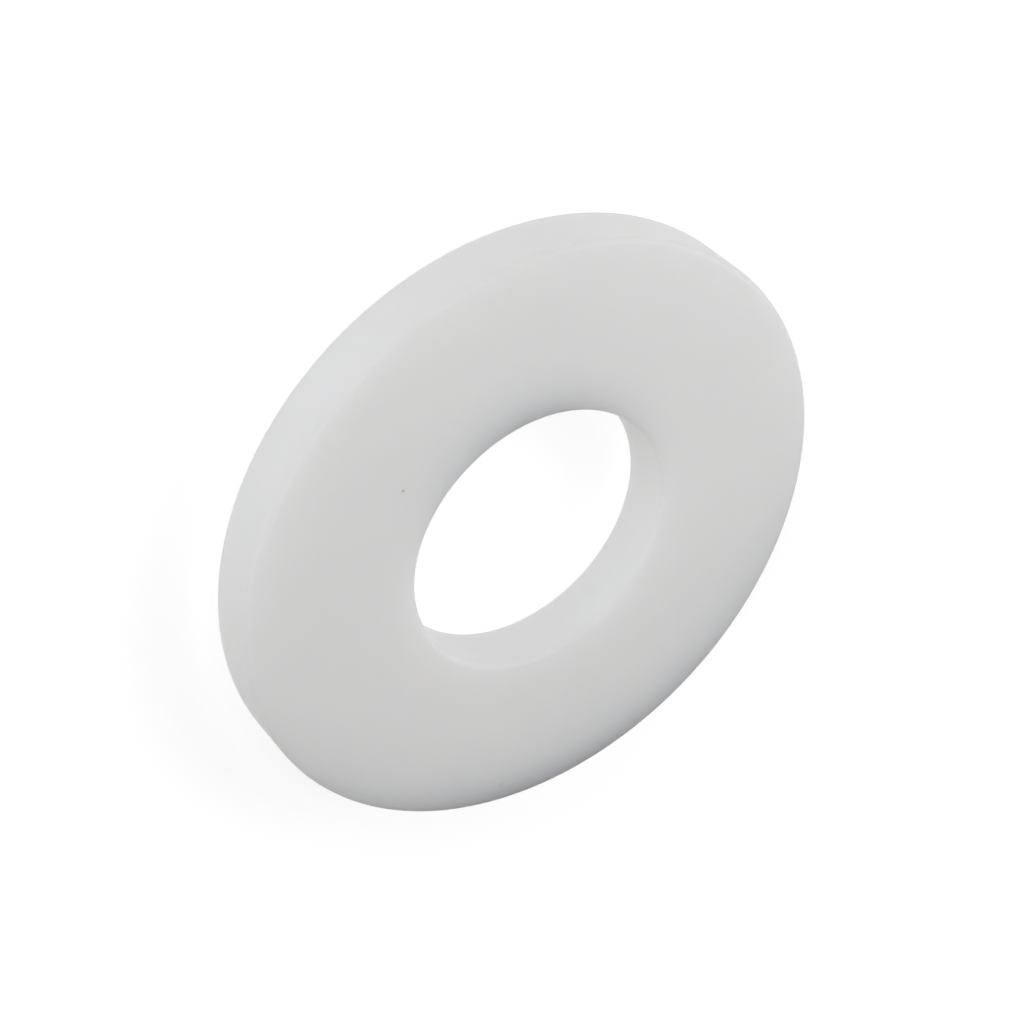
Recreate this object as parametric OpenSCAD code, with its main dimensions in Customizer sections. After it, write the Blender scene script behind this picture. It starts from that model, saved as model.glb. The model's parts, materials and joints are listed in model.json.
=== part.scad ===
// Flat wear ring in plain white plastic, lying on its back face.
// Millimetres. The origin is the centre of the back face, and +Z is the ring's axis.

/* [Ring] */
// Outer diameter, across the rim
outer_d = 24; // [18:0.5:40]
// Bore diameter, clear of a 10 mm shaft
bore_d = 10.6; // [4:0.1:15]
// Thickness between the two flat faces
thickness = 2.3; // [1.5:0.1:6]

/* [Edges] */
// Radius of the round on both edges of the rim
rim_round = 0.25; // [0.1:0.05:0.7]
// Radius of the round on both edges of the bore
bore_round = 0.25; // [0.1:0.05:0.7]

/* [Hidden] */
$fn = 180;
outer_r = outer_d / 2;
bore_r = bore_d / 2;
wall_w = outer_r - bore_r;

// What a round takes off a square corner that stands at the origin
module corner_waste(round_r) {
    difference() {
        square(round_r);
        translate([round_r, round_r]) circle(round_r);
    }
}

// Both edges of one wall, given that wall's edge at the back face
module on_both_faces() {
    children();
    translate([0, thickness]) mirror([0, 1]) children();
}

// Cross-section on one side of the axis: a flat bar with four rounded corners
module ring_section() {
    difference() {
        translate([bore_r, 0]) square([wall_w, thickness]);
        on_both_faces() translate([bore_r, 0]) corner_waste(bore_round);
        on_both_faces() translate([outer_r, 0]) mirror([1, 0]) corner_waste(rim_round);
    }
}

// The whole ring is one turned or moulded piece
module wear_ring() {
    color("whitesmoke") rotate_extrude() ring_section();
}

wear_ring();
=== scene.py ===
"""A flat wear ring in satin white plastic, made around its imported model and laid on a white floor."""

import json
import math

import bpy
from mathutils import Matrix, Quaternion, Vector


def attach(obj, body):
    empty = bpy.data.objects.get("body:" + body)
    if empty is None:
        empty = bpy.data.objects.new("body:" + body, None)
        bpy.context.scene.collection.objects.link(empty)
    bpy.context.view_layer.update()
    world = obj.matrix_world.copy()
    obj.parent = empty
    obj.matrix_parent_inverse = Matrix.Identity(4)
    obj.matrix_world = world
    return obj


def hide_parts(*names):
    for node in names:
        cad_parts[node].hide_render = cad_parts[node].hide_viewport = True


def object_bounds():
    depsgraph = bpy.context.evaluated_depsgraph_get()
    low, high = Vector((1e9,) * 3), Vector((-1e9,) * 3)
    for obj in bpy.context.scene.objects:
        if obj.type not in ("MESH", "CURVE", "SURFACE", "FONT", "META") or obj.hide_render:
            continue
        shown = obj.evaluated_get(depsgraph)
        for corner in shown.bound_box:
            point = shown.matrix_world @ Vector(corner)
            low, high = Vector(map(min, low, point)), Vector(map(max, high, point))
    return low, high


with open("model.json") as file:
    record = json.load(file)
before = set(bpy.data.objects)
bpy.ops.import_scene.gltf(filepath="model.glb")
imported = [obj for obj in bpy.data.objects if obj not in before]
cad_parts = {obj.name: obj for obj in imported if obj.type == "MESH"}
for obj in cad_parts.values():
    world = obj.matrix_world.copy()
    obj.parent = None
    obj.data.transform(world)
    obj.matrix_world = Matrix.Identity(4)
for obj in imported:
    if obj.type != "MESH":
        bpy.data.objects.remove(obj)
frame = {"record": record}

bl_info = {
    "name": "Wear Ring",
    "version": (1, 0, 0),
    "blender": (4, 5, 0),
    "location": "3D View > Sidebar > Wear Ring",
    "description": "Builds a flat white plastic wear ring and its studio",
    "category": "Add Mesh",
}

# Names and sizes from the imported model. Lengths are in metres.
MM = 0.001
NODE = "wear_ring"
CAD_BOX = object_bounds()
MOUNTS = {mount["name"]: mount for mount in frame["record"]["mounts"]}
THICKNESS = CAD_BOX[1].z - CAD_BOX[0].z
OUTER_RADIUS = MOUNTS["rim"]["dims"]["r_mm"] * MM
BORE_RADIUS = MOUNTS["bore"]["dims"]["r_mm"] * MM
RIM_ROUND = (THICKNESS - MOUNTS["rim"]["dims"]["length_mm"] * MM) / 2
BORE_ROUND = (THICKNESS - MOUNTS["bore"]["dims"]["length_mm"] * MM) / 2

# Modelling: how near is the same place or the same point, the profile of a true round, and the full weight
# by face area, which keeps the flat faces evenly lit
SAME_PLACE = 0.01 * MM
SAME_POINT = 0.001 * MM
ARC_PROFILE = 0.5
FACE_WEIGHT = 100

# Patterns of the plastic: repeats in a millimetre, fineness, and the part of the range in use
CLOUDS_PER_MM = 0.22
CLOUD_DETAIL = 2.0
CLOUD_RANGE = (0.35, 0.65)
SATIN_PER_MM = 0.7
SATIN_DETAIL = 4.0
SATIN_RANGE = (0.3, 0.7)
WAVES_PER_MM = 0.3
GRAIN_PER_MM = 7.0
RELIEF_DETAIL = 2.0
PLASTIC_IOR = 1.53

# Specks of the front face: place in millimetres, size against the speck radius, and strength
SPECKS = (
    ((1.99, -6.99), 1.0, 0.55),
    ((7.94, 7.81), 2.0, 0.08),
)
SPECK_CORE = 0.6
SPECK_EDGE = 1.2

# The floor: its width, its gap below the ring, and where its own white starts and stops growing
FLOOR_SIZE = 4.0
FLOOR_GAP = 0.01 * MM
GLOW_START = 14 * MM
GLOW_END = 60 * MM

# The studio: distance and radius of near and far softboxes, and the tent's brightest place in degrees
NEAR_BOX = (60 * MM, 20 * MM)
FAR_BOX = (300 * MM, 80 * MM)
TENT_AZIMUTH = 330.0
TENT_ELEVATION = -60.0
PICTURE_SIZE = 1024
SENSOR_WIDTH = 36.0
NEAREST_SEEN = 1 * MM
WHITE = (1.0, 1.0, 1.0, 1.0)


class RingSizes(bpy.types.PropertyGroup):
    """Sizes of the ring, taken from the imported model"""

    outer_radius: bpy.props.FloatProperty(
        name="Outer Radius",
        description="From the axis to the rim",
        default=OUTER_RADIUS,
        unit="LENGTH",
    )
    bore_radius: bpy.props.FloatProperty(
        name="Bore Radius",
        description="From the axis to the bore wall",
        default=BORE_RADIUS,
        unit="LENGTH",
    )
    thickness: bpy.props.FloatProperty(
        name="Thickness",
        description="Between the two flat faces",
        default=THICKNESS,
        unit="LENGTH",
    )
    rim_round: bpy.props.FloatProperty(
        name="Rim Round",
        description="Radius of the round on both edges of the rim",
        default=RIM_ROUND,
        unit="LENGTH",
    )
    bore_round: bpy.props.FloatProperty(
        name="Bore Round",
        description="Radius of the round on both edges of the bore",
        default=BORE_ROUND,
        unit="LENGTH",
    )
    steps_around: bpy.props.IntProperty(
        name="Steps Around",
        description="Segments in one turn of the ring",
        default=256,
        min=32,
    )
    round_steps: bpy.props.IntProperty(
        name="Round Steps",
        description="Segments across each edge round",
        default=12,
        min=3,
    )


class RingFinish(bpy.types.PropertyGroup):
    """Colour and surface of the plastic"""

    plastic_colour: bpy.props.FloatVectorProperty(
        name="Plastic",
        description="Milky white of the plastic",
        subtype="COLOR",
        size=4,
        default=(0.798, 0.806, 0.802, 1.0),
    )
    cloud_colour: bpy.props.FloatVectorProperty(
        name="Clouding",
        description="Slightly darker and cooler white of the faint clouds in the plastic",
        subtype="COLOR",
        size=4,
        default=(0.783, 0.792, 0.797, 1.0),
    )
    speck_colour: bpy.props.FloatVectorProperty(
        name="Specks",
        description="Grey of the small specks in the front face",
        subtype="COLOR",
        size=4,
        default=(0.25, 0.24, 0.23, 1.0),
    )
    speck_radius: bpy.props.FloatProperty(
        name="Speck Radius",
        description="Radius of the darker speck",
        default=0.06 * MM,
        unit="LENGTH",
    )
    glow_depth: bpy.props.FloatProperty(
        name="Glow Depth",
        description="How far light spreads inside the plastic",
        default=6.5 * MM,
        unit="LENGTH",
    )
    glow_by_colour: bpy.props.FloatVectorProperty(
        name="Glow by Colour",
        description="Share of the glow depth that red, green and blue reach, which cools the edges",
        size=3,
        default=(1.13, 1.0, 0.85),
    )
    shine: bpy.props.FloatProperty(
        name="Shine",
        description="Strength of the skin's reflections, where 0.5 is that of bare clear plastic",
        default=0.2,
        subtype="FACTOR",
    )
    roughness: bpy.props.FloatProperty(
        name="Roughness",
        description="Satin of the moulded skin",
        default=0.5,
        subtype="FACTOR",
    )
    roughness_swing: bpy.props.FloatProperty(
        name="Roughness Swing",
        description="How much the satin varies over the skin",
        default=0.06,
        subtype="FACTOR",
    )
    grain_height: bpy.props.FloatProperty(
        name="Grain Height",
        description="Height of the fine grain of the moulded skin",
        default=0.0012 * MM,
        unit="LENGTH",
    )
    wave_height: bpy.props.FloatProperty(
        name="Wave Height",
        description="Height of the faint waves in the flat faces",
        default=0.006 * MM,
        unit="LENGTH",
    )


class StudioSetup(bpy.types.PropertyGroup):
    """Camera and light of the picture"""

    camera_elevation: bpy.props.FloatProperty(
        name="Camera Elevation",
        description="Height of the camera over the plane of the ring",
        default=math.radians(42.33),
        subtype="ANGLE",
    )
    camera_distance: bpy.props.FloatProperty(
        name="Camera Distance",
        description="From the camera to the middle of the ring",
        default=87.6 * MM,
        unit="LENGTH",
    )
    camera_roll: bpy.props.FloatProperty(
        name="Camera Roll",
        description="Turn of the camera about its own line of sight",
        default=math.radians(133.01),
        subtype="ANGLE",
    )
    lens: bpy.props.FloatProperty(
        name="Lens",
        description="Focal length in millimetres on a 36 mm sensor",
        default=84.5,
    )
    ring_in_picture: bpy.props.FloatVectorProperty(
        name="Ring in Picture",
        description="Pixel at which the middle of the ring stands, from the upper left corner",
        size=2,
        default=(526.2, 525.6),
    )
    key_level: bpy.props.FloatProperty(
        name="Key Light",
        description="Level of the near softbox over the near rim, where 1 shows a colour as written",
        default=0.27,
    )
    left_level: bpy.props.FloatProperty(
        name="Left Light",
        description="Level of the near softbox on the ring's left",
        default=0.22,
    )
    right_level: bpy.props.FloatProperty(
        name="Right Light",
        description="Level of the far softbox on the ring's right",
        default=0.29,
    )
    rear_level: bpy.props.FloatProperty(
        name="Rear Light",
        description="Level of the far softbox behind the ring's left",
        default=0.33,
    )
    low_level: bpy.props.FloatProperty(
        name="Low Light",
        description="Level of the far softbox low in front of the near rim",
        default=0.243,
    )
    tent_level: bpy.props.FloatProperty(
        name="Tent Light",
        description="Level of the light tent at its brightest place, below the near rim",
        default=1.092,
    )
    shadow_share: bpy.props.FloatProperty(
        name="Shadow Share",
        description="How much of the ring's shadow the white floor shows",
        default=0.4,
        subtype="FACTOR",
    )
    floor_light: bpy.props.FloatProperty(
        name="Floor Light",
        description="Level of the softboxes' light on the floor beside the ring",
        default=0.57,
    )


def deselect_all():
    """Leave nothing selected, because operators act on all that is."""
    bpy.ops.object.select_all(action="DESELECT")


def round_section_corners(piece, at_radius, round_radius, steps):
    """Round the two corners of the section that stand at one radius."""
    bpy.ops.object.mode_set(mode="EDIT")
    bpy.ops.mesh.select_mode(type="VERT")
    bpy.ops.mesh.select_all(action="DESELECT")
    bpy.ops.object.mode_set(mode="OBJECT")
    for vertex in piece.data.vertices:
        vertex.select = abs(vertex.co.x - at_radius) < SAME_PLACE
    bpy.ops.object.mode_set(mode="EDIT")
    bpy.ops.mesh.bevel(offset=round_radius, segments=steps, affect="VERTICES", profile=ARC_PROFILE)
    bpy.ops.object.mode_set(mode="OBJECT")


def spin_ring(sizes):
    """Draw the rounded section, spin it about the axis of the ring, and return the closed piece."""
    wall = sizes.outer_radius - sizes.bore_radius
    deselect_all()
    bpy.ops.mesh.primitive_plane_add(
        size=1.0,
        location=(sizes.bore_radius + wall / 2, 0.0, sizes.thickness / 2),
        rotation=(math.pi / 2, 0.0, 0.0),
    )
    piece = bpy.context.object
    piece.name = "white_ring"
    piece.scale = (wall, sizes.thickness, 1.0)
    bpy.ops.object.transform_apply(location=True, rotation=True, scale=True)
    round_section_corners(piece, sizes.bore_radius, sizes.bore_round, sizes.round_steps)
    round_section_corners(piece, sizes.outer_radius, sizes.rim_round, sizes.round_steps)
    bpy.ops.object.mode_set(mode="EDIT")
    bpy.ops.mesh.select_all(action="SELECT")
    bpy.ops.mesh.delete(type="ONLY_FACE")
    bpy.ops.mesh.select_all(action="SELECT")
    bpy.ops.mesh.spin(
        steps=sizes.steps_around,
        angle=math.tau,
        center=(0.0, 0.0, 0.0),
        axis=(0.0, 0.0, 1.0),
    )
    bpy.ops.mesh.select_all(action="SELECT")
    bpy.ops.mesh.remove_doubles(threshold=SAME_POINT)
    bpy.ops.mesh.normals_make_consistent(inside=False)
    bpy.ops.object.mode_set(mode="OBJECT")
    bpy.ops.object.shade_smooth()
    weighted = piece.modifiers.new("even_normals", "WEIGHTED_NORMAL")
    weighted.weight = FACE_WEIGHT
    bpy.ops.object.modifier_apply(modifier=weighted.name)
    return piece


def add_node(tree, kind, operation=None):
    """A new node, with its operation set where it has one."""
    node = tree.nodes.new(kind)
    if operation:
        node.operation = operation
    return node


def object_millimetres(tree):
    """Object coordinates in millimetres, so that a pattern's scale is its repeats per millimetre."""
    place = add_node(tree, "ShaderNodeTexCoord")
    mapping = add_node(tree, "ShaderNodeMapping")
    mapping.inputs["Scale"].default_value = (1 / MM, 1 / MM, 1 / MM)
    tree.links.new(place.outputs["Object"], mapping.inputs["Vector"])
    return mapping.outputs["Vector"]


def noise(tree, place, per_millimetre, detail):
    """Soft noise from 0 to 1."""
    pattern = add_node(tree, "ShaderNodeTexNoise")
    pattern.inputs["Scale"].default_value = per_millimetre
    pattern.inputs["Detail"].default_value = detail
    tree.links.new(place, pattern.inputs["Vector"])
    return pattern.outputs["Fac"]


def remap(tree, value, low, high, new_low, new_high):
    """A value spread from one range to another."""
    spread = add_node(tree, "ShaderNodeMapRange")
    spread.inputs["From Min"].default_value = low
    spread.inputs["From Max"].default_value = high
    spread.inputs["To Min"].default_value = new_low
    spread.inputs["To Max"].default_value = new_high
    tree.links.new(value, spread.inputs["Value"])
    return spread.outputs["Result"]


def mix_colour(tree, share, first, second):
    """Two colours mixed by a share. Each is a socket or a plain colour."""
    mix = add_node(tree, "ShaderNodeMix")
    mix.data_type = "RGBA"
    tree.links.new(share, mix.inputs["Factor"])
    for value, name in ((first, "A"), (second, "B")):
        socket = next(s for s in mix.inputs if s.name == name and s.type == "RGBA")
        if isinstance(value, bpy.types.NodeSocket):
            tree.links.new(value, socket)
        else:
            socket.default_value = value
    return next(s for s in mix.outputs if s.type == "RGBA")


def clouded_white(tree, place, finish):
    """The white of the plastic, with faint clouds a few millimetres wide."""
    pattern = noise(tree, place, CLOUDS_PER_MM, CLOUD_DETAIL)
    clouds = remap(tree, pattern, *CLOUD_RANGE, 0.0, 1.0)
    return mix_colour(tree, clouds, finish.plastic_colour, finish.cloud_colour)


def speck_mask(tree, place, centre, radius, strength):
    """The strength inside one round speck, and 0 outside it. The place and radius are in millimetres."""
    away = add_node(tree, "ShaderNodeVectorMath", "DISTANCE")
    away.inputs[1].default_value = centre
    tree.links.new(place, away.inputs[0])
    return remap(tree, away.outputs["Value"], SPECK_CORE * radius, SPECK_EDGE * radius, strength, 0.0)


def with_specks(tree, place, white, finish):
    """Two small dark specks in the front face, beside the bore and near the rim."""
    front = THICKNESS / MM
    radius = finish.speck_radius / MM
    colour = white
    for (across, along), times_radius, strength in SPECKS:
        mask = speck_mask(tree, place, (across, along, front), times_radius * radius, strength)
        colour = mix_colour(tree, mask, colour, finish.speck_colour)
    return colour


def satin(tree, place, finish):
    """Roughness of the skin, which varies a little over a millimetre or two."""
    low = finish.roughness - finish.roughness_swing
    high = finish.roughness + finish.roughness_swing
    pattern = noise(tree, place, SATIN_PER_MM, SATIN_DETAIL)
    return remap(tree, pattern, *SATIN_RANGE, low, high)


def skin_relief(tree, place, finish):
    """Faint waves of the moulded skin with its fine grain on top."""
    normal = None
    reliefs = (
        (WAVES_PER_MM, finish.wave_height),
        (GRAIN_PER_MM, finish.grain_height),
    )
    for per_millimetre, height in reliefs:
        bump = add_node(tree, "ShaderNodeBump")
        bump.inputs["Distance"].default_value = height
        tree.links.new(noise(tree, place, per_millimetre, RELIEF_DETAIL), bump.inputs["Height"])
        if normal:
            tree.links.new(normal, bump.inputs["Normal"])
        normal = bump.outputs["Normal"]
    return normal


def plastic_material(finish):
    """Satin white plastic that lets light deep into its body."""
    material = bpy.data.materials.new("satin_white")
    material.use_nodes = True
    tree = material.node_tree
    shader = tree.nodes["Principled BSDF"]
    place = object_millimetres(tree)
    white = clouded_white(tree, place, finish)
    tree.links.new(with_specks(tree, place, white, finish), shader.inputs["Base Color"])
    tree.links.new(satin(tree, place, finish), shader.inputs["Roughness"])
    tree.links.new(skin_relief(tree, place, finish), shader.inputs["Normal"])
    shader.inputs["Subsurface Weight"].default_value = 1.0
    shader.inputs["Subsurface Radius"].default_value = finish.glow_by_colour
    shader.inputs["Subsurface Scale"].default_value = finish.glow_depth
    shader.inputs["IOR"].default_value = PLASTIC_IOR
    shader.inputs["Specular IOR Level"].default_value = finish.shine
    return material


def looked_at(tree):
    """1 for what the camera sees, directly, in a reflection or through glass, and 0 for other light."""
    path = add_node(tree, "ShaderNodeLightPath")
    seen = path.outputs["Is Camera Ray"]
    for kind in ("Is Glossy Ray", "Is Transmission Ray"):
        either = add_node(tree, "ShaderNodeMath", "MAXIMUM")
        tree.links.new(seen, either.inputs[0])
        tree.links.new(path.outputs[kind], either.inputs[1])
        seen = either.outputs["Value"]
    return seen


def floor_glow(tree, studio):
    """Strength of the floor's own white, which just makes up white beside the ring and far off."""
    own_share = 1.0 - studio.shadow_share
    beside = (1.0 - studio.shadow_share * studio.floor_light) / own_share
    far_off = 1.0 / own_share
    place = add_node(tree, "ShaderNodeTexCoord")
    away = add_node(tree, "ShaderNodeVectorMath", "LENGTH")
    tree.links.new(place.outputs["Object"], away.inputs[0])
    return remap(tree, away.outputs["Value"], GLOW_START, GLOW_END, beside, far_off)


def floor_material(studio):
    """White light table, which shows a share of the ring's shadow and lets the tent's light through."""
    material = bpy.data.materials.new("white_floor")
    material.use_nodes = True
    tree = material.node_tree
    tree.nodes.clear()
    output = add_node(tree, "ShaderNodeOutputMaterial")
    white = add_node(tree, "ShaderNodeEmission")
    white.inputs["Color"].default_value = WHITE
    tree.links.new(floor_glow(tree, studio), white.inputs["Strength"])
    shaded = add_node(tree, "ShaderNodeBsdfDiffuse")
    shaded.inputs["Color"].default_value = WHITE
    shown = add_node(tree, "ShaderNodeMixShader")
    shown.inputs["Fac"].default_value = studio.shadow_share
    tree.links.new(white.outputs["Emission"], shown.inputs[1])
    tree.links.new(shaded.outputs["BSDF"], shown.inputs[2])
    clear = add_node(tree, "ShaderNodeBsdfTransparent")
    table = add_node(tree, "ShaderNodeMixShader")
    tree.links.new(looked_at(tree), table.inputs["Fac"])
    tree.links.new(clear.outputs["BSDF"], table.inputs[1])
    tree.links.new(shown.outputs["Shader"], table.inputs[2])
    tree.links.new(table.outputs["Shader"], output.inputs["Surface"])
    return material


def add_floor(studio):
    """One wide plain floor under the ring."""
    deselect_all()
    bpy.ops.mesh.primitive_plane_add(size=FLOOR_SIZE, location=(0.0, 0.0, -FLOOR_GAP))
    floor = bpy.context.object
    floor.name = "floor"
    floor.data.materials.append(floor_material(studio))


def aim(thing, target):
    """Turn a lamp or camera to look at a point."""
    thing.rotation_mode = "QUATERNION"
    thing.rotation_quaternion = (Vector(target) - thing.location).to_track_quat("-Z", "Y")


def direction(azimuth, elevation):
    """Unit vector to a place round the ring, in degrees: azimuth 0 is its near side and 90 its right."""
    around = math.radians(azimuth)
    up = math.radians(elevation)
    return Vector((math.sin(around) * math.cos(up), -math.cos(around) * math.cos(up), math.sin(up)))


def add_camera(studio, middle):
    """The photograph's view, over the near rim, with the camera turned about its line of sight."""
    camera = bpy.data.cameras.new("camera")
    camera.sensor_width = SENSOR_WIDTH
    camera.lens = studio.lens
    camera.clip_start = NEAREST_SEEN
    camera.shift_x = -(studio.ring_in_picture[0] - PICTURE_SIZE / 2) / PICTURE_SIZE
    camera.shift_y = (studio.ring_in_picture[1] - PICTURE_SIZE / 2) / PICTURE_SIZE
    holder = bpy.data.objects.new("camera", camera)
    bpy.context.collection.objects.link(holder)
    reach = direction(0.0, math.degrees(studio.camera_elevation))
    holder.location = middle + reach * studio.camera_distance
    aim(holder, middle)
    roll = Quaternion((0.0, 0.0, 1.0), studio.camera_roll)
    holder.rotation_quaternion = holder.rotation_quaternion @ roll
    bpy.context.scene.camera = holder


def add_softbox(name, middle, level, kind, azimuth, elevation):
    """A round softbox aimed at the ring. At level 1 it alone shows a colour as it is written."""
    distance, radius = kind
    lamp = bpy.data.lights.new(name, "AREA")
    lamp.shape = "DISK"
    lamp.size = 2 * radius
    lamp.energy = level * (math.pi * distance) ** 2
    holder = bpy.data.objects.new(name, lamp)
    bpy.context.collection.objects.link(holder)
    holder.location = middle + direction(azimuth, elevation) * distance
    holder.visible_camera = False
    aim(holder, middle)


def add_lamps(studio, middle):
    """Five softboxes: two near the ring, and three further off that reach its rim and its bore wall."""
    add_softbox("key_light", middle, studio.key_level, NEAR_BOX, azimuth=0.0, elevation=75.0)
    add_softbox("left_light", middle, studio.left_level, NEAR_BOX, azimuth=270.0, elevation=40.0)
    add_softbox("right_light", middle, studio.right_level, FAR_BOX, azimuth=60.0, elevation=20.0)
    add_softbox("rear_light", middle, studio.rear_level, FAR_BOX, azimuth=225.0, elevation=28.0)
    add_softbox("low_light", middle, studio.low_level, FAR_BOX, azimuth=0.0, elevation=10.0)


def add_world(studio):
    """A light tent that is white to the camera and brightest below the near rim."""
    world = bpy.data.worlds.new("studio")
    world.use_nodes = True
    tree = world.node_tree
    tree.nodes.clear()
    output = add_node(tree, "ShaderNodeOutputWorld")
    place = add_node(tree, "ShaderNodeTexCoord")
    facing = add_node(tree, "ShaderNodeVectorMath", "DOT_PRODUCT")
    facing.inputs[1].default_value = direction(TENT_AZIMUTH, TENT_ELEVATION)
    tree.links.new(place.outputs["Generated"], facing.inputs[0])
    glow = remap(tree, facing.outputs["Value"], 0.0, 1.0, 0.0, studio.tent_level)
    tent = add_node(tree, "ShaderNodeBackground")
    tent.inputs["Color"].default_value = WHITE
    tree.links.new(glow, tent.inputs["Strength"])
    white = add_node(tree, "ShaderNodeBackground")
    white.inputs["Color"].default_value = WHITE
    both = add_node(tree, "ShaderNodeMixShader")
    tree.links.new(looked_at(tree), both.inputs["Fac"])
    tree.links.new(tent.outputs["Background"], both.inputs[1])
    tree.links.new(white.outputs["Background"], both.inputs[2])
    tree.links.new(both.outputs["Shader"], output.inputs["Surface"])
    bpy.context.scene.world = world


class WEAR_RING_OT_ring(bpy.types.Operator):
    """Model the ring and give it its plastic"""

    bl_idname = "wear_ring.ring"
    bl_label = "Build Ring"

    def execute(self, context):
        piece = spin_ring(context.scene.ring_sizes)
        piece.data.materials.clear()
        piece.data.materials.append(plastic_material(context.scene.ring_finish))
        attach(piece, "root")
        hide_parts(NODE)
        return {"FINISHED"}


class WEAR_RING_OT_stage(bpy.types.Operator):
    """Set the floor, the light and the camera"""

    bl_idname = "wear_ring.stage"
    bl_label = "Build Stage"

    def execute(self, context):
        studio = context.scene.ring_studio
        middle = Vector((0.0, 0.0, context.scene.ring_sizes.thickness / 2))
        add_floor(studio)
        add_world(studio)
        add_lamps(studio, middle)
        add_camera(studio, middle)
        context.scene.view_settings.view_transform = "Standard"
        return {"FINISHED"}


class WEAR_RING_PT_panel(bpy.types.Panel):
    """Sizes, finish and studio of the ring"""

    bl_idname = "WEAR_RING_PT_panel"
    bl_label = "Wear Ring"
    bl_space_type = "VIEW_3D"
    bl_region_type = "UI"
    bl_category = "Wear Ring"

    def draw(self, context):
        layout = self.layout
        for group in (context.scene.ring_sizes, context.scene.ring_finish, context.scene.ring_studio):
            box = layout.box()
            for name in group.__annotations__:
                box.prop(group, name)
        layout.operator("wear_ring.ring")
        layout.operator("wear_ring.stage")


CLASSES = (
    RingSizes,
    RingFinish,
    StudioSetup,
    WEAR_RING_OT_ring,
    WEAR_RING_OT_stage,
    WEAR_RING_PT_panel,
)


def register():
    for kind in CLASSES:
        bpy.utils.register_class(kind)
    bpy.types.Scene.ring_sizes = bpy.props.PointerProperty(type=RingSizes)
    bpy.types.Scene.ring_finish = bpy.props.PointerProperty(type=RingFinish)
    bpy.types.Scene.ring_studio = bpy.props.PointerProperty(type=StudioSetup)


def unregister():
    del bpy.types.Scene.ring_studio
    del bpy.types.Scene.ring_finish
    del bpy.types.Scene.ring_sizes
    for kind in reversed(CLASSES):
        bpy.utils.unregister_class(kind)


def main():
    register()
    bpy.ops.wear_ring.ring()
    bpy.ops.wear_ring.stage()


if __name__ == "__main__":
    main()
